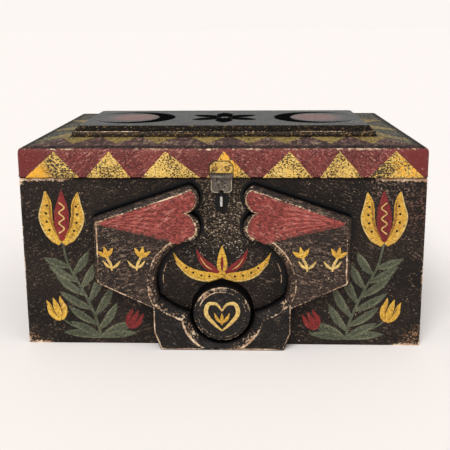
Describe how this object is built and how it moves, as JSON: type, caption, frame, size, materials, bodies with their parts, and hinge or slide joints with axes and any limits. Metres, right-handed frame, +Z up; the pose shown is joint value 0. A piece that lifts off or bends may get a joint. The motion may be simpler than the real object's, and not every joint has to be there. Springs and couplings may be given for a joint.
{
  "type": "carved box",
  "caption": "Lidded wooden keepsake box with a carved relief front, painted sawtooth borders, a raised lid panel, butt hinges at the back and a small iron hasp.",
  "frame": {"origin": "middle of the box's base, on the surface that it stands on", "axes": "+X along the carved front to the viewer's right, -Y towards the viewer, +Z up"},
  "size_m": [0.345, 0.2501, 0.1888],
  "materials": {
    "painted_board": "worn dark paint",
    "carved_paint": "worn brown-black paint",
    "lid_paint": "worn maroon paint",
    "panel_paint": "satin black paint",
    "bare_wood": "aged bare wood",
    "iron": "dark aged iron"
  },
  "bodies": {
    "box": {"front_board": "painted_board", "back_board": "painted_board", "left_end_board": "painted_board", "right_end_board": "painted_board", "left_wing": "carved_paint", "right_wing": "carved_paint", "foot_block": "carved_paint", "roundel": "carved_paint", "bottom_board": "bare_wood", "corner_dowels": "bare_wood", "bottom_nails": "iron", "staple": "iron", "left_hinge_box_leaf": "iron", "right_hinge_box_leaf": "iron", "left_hinge_pin": "iron", "right_hinge_pin": "iron", "hinge_box_screws": "iron"},
    "lid": {"lid_board": "lid_paint", "lid_panel": "panel_paint", "left_hinge_lid_leaf": "iron", "right_hinge_lid_leaf": "iron", "hinge_lid_screws": "iron", "hasp_plate": "iron", "hasp_nails": "iron", "hasp_pin": "iron"},
    "hasp": {"hasp_leaf": "iron"}
  },
  "joints": [
    {"name": "lid_hinge", "type": "hinge", "parent": "box", "child": "lid", "pos_m": [0, 0.1191, 0.15], "axis": [-1, 0, 0], "range_deg": [0, 180]},
    {"name": "hasp_hinge", "type": "hinge", "parent": "lid", "child": "hasp", "pos_m": [0, -0.1197, 0.1518], "axis": [-1, 0, 0], "range_deg": [0, 160]}
  ]
}
